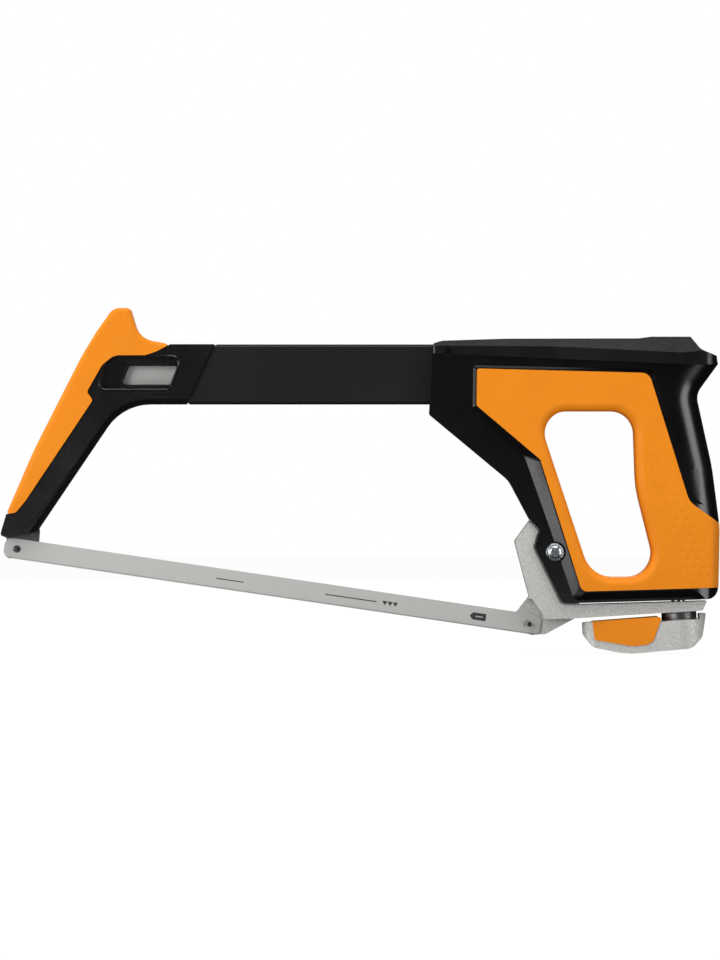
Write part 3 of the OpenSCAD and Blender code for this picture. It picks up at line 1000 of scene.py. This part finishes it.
@dataclass
class Handle:
    """Two handle shells with raised collars, two soft pads, the cap and the shells' screws."""

    looks: Looks
    shell_half: float = 14.0
    pad_half: float = 16.5
    opening: Sequence[Corner] = (
        (-81.6, 40.2, 13), (-25, 40.2, 13), (-23.4, -4, 60), (-10.4, -56, 14), (-49.8, -56, 18),
    )
    outline: Sequence[Corner] = (
        (-141.5, 79, 1.5), (-143.4, 38.4, 2), (-97.2, 0, 14), (-84.6, -23.6, 0.8),
        (-79.4, -28.6, 3), (-82.4, -38.6, 2.5), (-66.4, -71.2, 3), (24.2, -68.6, 7),
        (25.2, -26, 60), (20.8, 8, 90), (11.6, 50, 10), (24.4, 67.6, 1), (23.2, 71, 1),
    )
    pad: Sequence[Corner] = (
        (-116, 64.8, 1.5), (-116.2, 43.4, 2), (-79.4, 12.2, 4), (-55.3, -64.2, 4), (28, -61.8, 0),
        (28, -27.3, 0), (6.8, -12.2, 12), (-16.4, 62.2, 6),
    )
    # Foot of the slopes that rise from the shell to the pad
    collar: Sequence[Corner] = (
        (-118.4, 67, 2), (-118.8, 42.2, 2), (-90.5, 14.6, 4), (-60.6, -70.5, 4), (34, -68, 0),
        (34, -26.5, 0), (9, -9.5, 12), (-13.5, 64.5, 6),
    )
    collar_rise: float = 2.0
    pivot: Point = (-70.7, -41.5)
    bolt_recess: float = 6.2
    # Side of the handle that is rounded off towards the back of the hand
    back_side: Sequence[Corner] = (
        (23.4, -130, 0), (25.4, -26, 60), (21.0, 8, 90), (11.8, 50, 10), (24.6, 67.6, 1),
        (24.6, 130, 0), (-240, 130, 0), (-240, -130, 0),
    )
    back_reach: float = 18.0
    pad_reach: float = 6.0
    rim_round: float = 5.0
    # Cutter of the flat chamfer on the shell's upright front edge: its top corner, its height,
    # its front face and its lean
    wedge_top: Point = (-140.75, 95.0)
    wedge_height: float = 65.0
    wedge_front: float = -160.0
    wedge_lean: float = 0.0468
    # Part of the pad where the hand closes, and the dimples pressed into it
    dimple_zone: Sequence[Corner] = (
        (-14, 20, 0), (-4, 8, 0), (8, -26, 0), (16, -36, 0), (21, -48, 0), (21, -56, 0),
        (2, -56, 0), (1, -36, 0), (-17, -10, 0), (-19, 14, 0),
    )
    dimple_pitch: float = 5.6
    dimple_radius: float = 2.3
    dimple_depth: float = 0.3

    def envelope(self, half: float, reach: float) -> bpy.types.Object:
        """Makes the solid that the handle stays within, elliptic at the back of the hand.

        Args:
            half: Half the thickness of the piece to be rounded.
            reach: How far forwards the rounding runs, in millimetres.

        Returns:
            The tool, to be intersected with the piece.
        """
        rings: list[tuple[Sequence[Point], float]] = []
        steps = 9
        for k in range(-steps, steps + 1):
            swing = math.radians(88.0 * k / steps)
            inset = reach * (1 - math.cos(swing))
            rings.append((rounded(grown(self.back_side, -inset), 6), half * math.sin(swing)))
        far = 6.0
        rings = [(rings[0][0], -half - far), *rings, (rings[-1][0], half + far)]
        return loft("envelope", rings)

    def front_wedge(self, side: int) -> bpy.types.Object:
        """Makes the cutter of the flat chamfer along the shell's upright front edge.

        Args:
            side: -1 for the left shell, 1 for the right one.

        Returns:
            The cutter.
        """
        edge, high = self.wedge_top
        low, front = high - self.wedge_height, self.wedge_front
        rings = []
        for depth, shift in ((-6.0, 3.0), (-0.05, 3.0), (1.9, -0.05)):
            top = (edge + shift, high)
            foot = (edge - self.wedge_height * self.wedge_lean + shift, low)
            corners = [(front, high), top, foot, (front, low)]
            rings.append((corners, side * (self.shell_half - depth)))
        return loft("wedge", rings if side > 0 else rings[::-1])

    def is_long(self, a: Vector, b: Vector) -> bool:
        """Tells the shell's long front and lower edges on its outer face from its other edges."""
        return on_side(self.shell_half)(a, b) and (a - b).length > 8 and max(a.x, b.x) < -60

    def shell(self, node: str, name: str, side: int) -> None:
        """Builds one shell from its CAD node.

        Args:
            node: The CAD node.
            name: Name of the piece.
            side: -1 for the left shell, 1 for the right one.
        """
        shell = from_cad(node, name)
        combine(shell, self.envelope(self.shell_half, self.back_reach), "INTERSECT")
        combine(shell, self.front_wedge(side))
        clean(shell)
        bevel_edges(shell, self.is_long, 0.6, 1)
        soften(shell, 0.4, 1)
        settle(shell, Body.FRAME, Slot.HANDLE, self.looks.gloss, node)

    def collars(self) -> None:
        """Builds the sloped collar round each pad."""
        foot = -self.shell_half + 0.5
        rise = self.collar_rise + 0.5
        ring = loft("collar_left", [
            (rounded(self.collar, 5), foot), (rounded(grown(self.pad, 0.7), 5), foot - rise),
        ])
        combine(ring, slab("keep", grown(self.outline, -0.05), -THROUGH, 0), "INTERSECT")
        half = self.shell_half + self.collar_rise
        combine(ring, self.envelope(half, self.back_reach), "INTERSECT")
        combine(ring, slab("pad", grown(self.pad, 0.05), -THROUGH, 0))
        bpy.ops.object.select_all(action="DESELECT")
        bpy.ops.mesh.primitive_cylinder_add(
            vertices=48, radius=self.bolt_recess * MM, depth=THROUGH * MM,
            rotation=(math.pi / 2, 0, 0),
            location=(self.pivot[0] * MM, -THROUGH * MM, self.pivot[1] * MM),
        )
        combine(ring, bpy.context.object)
        clean(ring)
        soften(ring, 0.35, 2, 20)
        twin = mirrored(ring, "collar_right")
        for piece in (ring, twin):
            settle(piece, Body.FRAME, Slot.HANDLE, self.looks.gloss)

    def dimples(self) -> bpy.types.Object:
        """Places small balls that press rows of dimples into a pad where the hand closes.

        Returns:
            The balls, joined, to be cut from the pad.
        """
        balls: list[bpy.types.Object] = []
        pitch, radius = self.dimple_pitch, self.dimple_radius
        keep = inside(self.dimple_zone)
        for row in range(-12, 6):
            for column in range(-5, 6):
                x = column * pitch + (row % 2) * pitch / 2 - row * 0.6
                z = row * pitch * 0.82
                if not keep(Vector((x, 0, z))):
                    continue
                y = -(self.pad_half + radius - self.dimple_depth)
                bpy.ops.mesh.primitive_uv_sphere_add(
                    segments=12, ring_count=8, radius=radius * MM,
                    rotation=(math.pi / 2, 0, 0), location=(x * MM, y * MM, z * MM),
                )
                balls.append(bpy.context.object)
        bpy.ops.object.select_all(action="DESELECT")
        for ball in balls:
            ball.select_set(True)
        bpy.context.view_layer.objects.active = balls[0]
        bpy.ops.object.join()
        return bpy.context.object

    def pads(self) -> None:
        """Builds the soft pad of each side."""
        rim = inside(grown(self.opening, 0.4))

        def on_rim(a: Vector, b: Vector) -> bool:
            """Tells the hand opening's rim from the pad's other edges."""
            return on_side(self.pad_half)(a, b) and rim(a) and rim(b)

        pad = from_cad("grip_pad_left", "soft_pad_left")
        bevel_edges(pad, on_rim, self.rim_round, 6)
        combine(pad, self.envelope(self.pad_half, self.pad_reach), "INTERSECT")
        combine(pad, self.dimples())
        soften(pad, 0.7, 3, 40)
        twin = mirrored(pad, "soft_pad_right")
        settle(pad, Body.FRAME, Slot.GRIP, self.looks.grip, "grip_pad_left")
        settle(twin, Body.FRAME, Slot.GRIP, self.looks.grip, "grip_pad_right")

    def build(self) -> None:
        """Builds the whole handle."""
        self.shell("handle_shell_left", "shell_left", -1)
        self.shell("handle_shell_right", "shell_right", 1)
        self.collars()
        self.pads()
        cap = from_cad("top_cap", "rear_cap")
        soften(cap, 1.0, 3)
        settle(cap, Body.FRAME, Slot.HANDLE, self.looks.cap, "top_cap")
        screws = from_cad("handle_screws", "shell_screws")
        soften(screws, 0.25, 2)
        settle(screws, Body.FRAME, Slot.ZINC, self.looks.zinc, "handle_screws")


@dataclass
class Tensioner:
    """Cast arm on its bolt, the screw that pulls it and the knob under the handle."""

    looks: Looks

    def build(self) -> None:
        """Builds the arm, the knob and what joins them."""
        plain = (
            ("tension_arm", "cast_arm", Body.ARM, Slot.SILVER, self.looks.silver, 1.8),
            ("rear_blade_pin", "rear_hook_pin", Body.ARM, Slot.DARK, self.looks.steel, 0.3),
            ("pivot_bolt", "arm_bolt", Body.FRAME, Slot.ZINC, self.looks.zinc, 0.25),
            ("pivot_nut", "arm_nut", Body.FRAME, Slot.ZINC, self.looks.zinc, 0.4),
            ("tension_knob", "cast_knob", Body.KNOB, Slot.SILVER, self.looks.silver, 1.6),
            ("knob_grip", "knob_soft_cover", Body.KNOB, Slot.GRIP, self.looks.grip, 0.5),
            ("tension_screw", "knob_screw", Body.KNOB, Slot.ZINC, self.looks.zinc, 0.5),
            ("thrust_washer", "seat_washer", Body.WASHER, Slot.DARK, self.looks.steel, 0.3),
        )
        for node, name, body, slot, look, width in plain:
            piece = from_cad(node, name)
            soften(piece, width, 3)
            settle(piece, body, slot, look, node)
        dress_node("pivot_bushing", self.looks.bronze)
        dress_node("retaining_ring", self.looks.steel)
        dress_node("tension_nut", self.looks.zinc)


@dataclass
class SawBlade:
    """Blade with fine teeth on its lower edge and a hole near each end."""

    name: str
    node: str
    body: Body
    look: bpy.types.Material
    front_hole: Point
    fall: float
    holes: float = 300.0
    end: float = BLADE_END
    width: float = 12.0
    thick: float = 0.65
    pitch: float = 25.4 / 24
    tooth: float = 0.7
    hole: float = 2.2
    end_round: float = 4.5

    def edge(self) -> list[Point]:
        """Draws the outline with its teeth.

        Returns:
            The outline's points, with the front hole at the origin.
        """
        half, reach = self.width / 2, self.holes + self.end
        ends = ((-self.end, half), (-self.end, -half), (reach, -half), (reach, half))
        box = [(x, z, self.end_round) for x, z in ends]
        points: list[Point] = []
        before = (math.inf, math.inf)
        for x, z in rounded(box):
            if before[0] < x and abs(before[1] + half) < 0.01 and x - before[0] > 10:
                count = int((x - before[0]) / self.pitch)
                for k in range(count):
                    at = before[0] + (x - before[0]) * k / count
                    points += [(at, z + self.tooth), (at + self.pitch * 0.35, z)]
            points.append((x, z))
            before = (x, z)
        return points

    def build(self) -> None:
        """Builds the blade in its place."""
        turn = math.radians(self.fall)

        def placed(x: float, z: float) -> Point:
            """Turns a point by the blade's fall and moves it to the front hole.

            Args:
                x: Distance along the blade from its front hole.
                z: Distance across it, upwards.

            Returns:
                The point in the saw's frame.
            """
            return (
                self.front_hole[0] + x * math.cos(turn) + z * math.sin(turn),
                self.front_hole[1] - x * math.sin(turn) + z * math.cos(turn),
            )

        points = [placed(*point) for point in self.edge()]
        blade = loft(self.name, [(points, -self.thick / 2), (points, self.thick / 2)])
        for along in (0, self.holes):
            x, z = placed(along, 0)
            bpy.ops.object.select_all(action="DESELECT")
            bpy.ops.mesh.primitive_cylinder_add(
                vertices=40, radius=self.hole * MM, depth=6 * MM, rotation=(math.pi / 2, 0, 0),
                location=(x * MM, 0, z * MM),
            )
            combine(blade, bpy.context.object)
        soften(blade, 0.06, 1, 50)
        settle(blade, self.body, Slot.BLADE, self.look, self.node)


# ---------------------------------------------------------------- stage


@dataclass
class Studio:
    """Pale floor, soft lights and the camera straight in front of the near side."""

    aim: Place = (-0.1836, 0.0, 0.0003)
    view_height: float = 0.5579
    lens: float = 200.0
    sensor: float = 36.0

    def camera(self) -> None:
        """Sets the camera up."""
        bpy.ops.object.select_all(action="DESELECT")
        away = self.view_height * self.lens / self.sensor
        place = (self.aim[0], self.aim[1] - away, self.aim[2])
        bpy.ops.object.camera_add(location=place, rotation=(math.pi / 2, 0, 0))
        camera = bpy.context.object
        camera.data.lens = self.lens
        camera.data.sensor_width = self.sensor
        camera.data.clip_end = 20
        bpy.context.scene.camera = camera

    def light(
        self, name: str, place: Place, size: Point, watts: float, target: Place | None = None
    ) -> None:
        """Adds a soft box.

        Args:
            name: Name of the light.
            place: Where it hangs, in metres.
            size: Its width and height, in metres.
            watts: Its power.
            target: Point that it faces; the saw if not given.
        """
        facing = (Vector(target or self.aim) - Vector(place)).to_track_quat("-Z", "Y").to_euler()
        bpy.ops.object.light_add(type="AREA", location=place, rotation=facing)
        lamp = bpy.context.object
        lamp.name = name
        lamp.data.shape = "RECTANGLE"
        lamp.data.size, lamp.data.size_y = size
        lamp.data.energy = watts
        lamp.visible_camera = False

    def floor(self) -> None:
        """Lays the pale floor under the saw."""
        bpy.ops.object.select_all(action="DESELECT")
        bpy.ops.mesh.primitive_plane_add(size=8, location=(0, 0, CAD_BOX[0][2] - 0.0005))
        floor = bpy.context.object
        floor.name = "floor"
        g = Graph("pale_floor")
        tone = g.noise(g.place(), 400, 2)
        floor.data.materials.append(g.finish(
            base_color=g.blend(tone, (0.1, 0.1, 0.1), (0.12, 0.12, 0.12)), roughness=0.8,
            specular_ior_level=0.0, emission_color=(1, 1, 1), emission_strength=0.93,
        ))
        floor.visible_glossy = False
        floor.visible_diffuse = False
        floor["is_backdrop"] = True

    def world(self) -> None:
        """Sets a white background, a soft glow for matt surfaces and a dark one for reflections."""
        world = bpy.data.worlds.new("studio")
        bpy.context.scene.world = world
        world.use_nodes = True
        nodes, links = world.node_tree.nodes, world.node_tree.links
        nodes.clear()
        path = nodes.new("ShaderNodeLightPath")
        last: bpy.types.Node | None = None
        for ray, strength in ((None, 0.36), ("Is Glossy Ray", 0.02), ("Is Camera Ray", 1.0)):
            glow = nodes.new("ShaderNodeBackground")
            glow.inputs["Color"].default_value = (1, 1, 1, 1)
            glow.inputs["Strength"].default_value = strength
            if last:
                mix = nodes.new("ShaderNodeMixShader")
                links.new(path.outputs[ray], mix.inputs[0])
                links.new(last.outputs[0], mix.inputs[1])
                links.new(glow.outputs[0], mix.inputs[2])
                glow = mix
            last = glow
        links.new(last.outputs[0], nodes.new("ShaderNodeOutputWorld").inputs["Surface"])

    def build(self) -> None:
        """Builds the studio."""
        self.camera()
        self.floor()
        self.world()
        self.light("left_box", (-1.3, -1.7, 0.3), (0.9, 1.4), 20)
        self.light("left_edge", (-1.7, -0.4, 0.1), (0.9, 1.2), 14)
        self.light("right_strip", (1.3, -0.9, 0.2), (0.7, 1.5), 12)
        self.light(
            "low_card", (-0.18, -0.3, CAD_BOX[0][2] + 0.002), (0.9, 0.3), 0.7, (-0.18, -0.29, 1)
        )
        self.light("top_box", (-0.2, -0.5, 1.6), (1.8, 0.9), 24)
        self.light("back_box", (0.3, 1.8, 0.8), (1.4, 1.0), 10)
        bpy.context.scene.view_settings.view_transform = "Standard"


def main() -> None:
    """Builds the saw, piece by piece, and the studio round it."""
    logging.basicConfig(level=logging.INFO, format="%(message)s")
    looks = Looks()
    Studio().build()
    TopTube(looks).build()
    FrontEnd(looks).build()
    Handle(looks).build()
    Tensioner(looks).build()
    SawBlade("toothed_blade", "blade", Body.BLADE, looks.blade, (-382.9, -39.8), 8.34).build()
    SawBlade(
        "stored_blade", "spare_blade", Body.SPARE, looks.spare, STORED_HOLE, 0, holes=297,
    ).build()
    sizes = {"cad": CAD_BOX, "visual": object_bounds()}
    sizes = {name: [list(corner) for corner in box] for name, box in sizes.items()}


if __name__ == "__main__":
    main()
